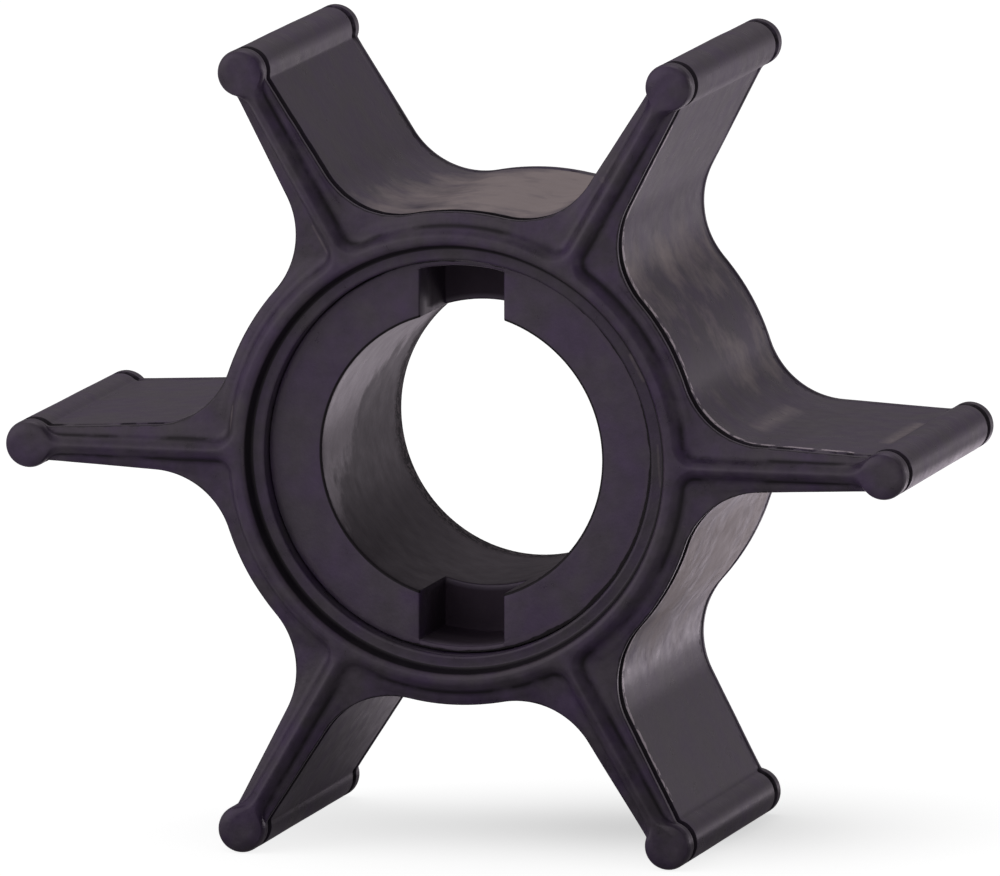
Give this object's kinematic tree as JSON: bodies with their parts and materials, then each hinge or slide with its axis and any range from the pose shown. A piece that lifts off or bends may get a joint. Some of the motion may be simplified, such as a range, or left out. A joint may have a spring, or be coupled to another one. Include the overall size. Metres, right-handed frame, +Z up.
{
  "type": "pump impeller",
  "caption": "Flexible-vane pump impeller in moulded rubber, with beaded vane tips, ribbed end faces and a hard hub bush with blind drive slots.",
  "frame": {"origin": "on the axis of the shaft bore, halfway between the two end faces", "axes": "Y along the shaft bore, -Y towards the end with the drive slots; +Z up through one drive slot; one vane along +X and one along -X, so that the part stands on its two lower vanes"},
  "size_m": [0.0538, 0.022, 0.047],
  "materials": {
    "rotor_rubber": "satin moulded",
    "bush_plastic": "satin moulded"
  },
  "bodies": {
    "root": {"rotor_body": "rotor_rubber", "hub_bush": "bush_plastic"}
  },
  "joints": []
}
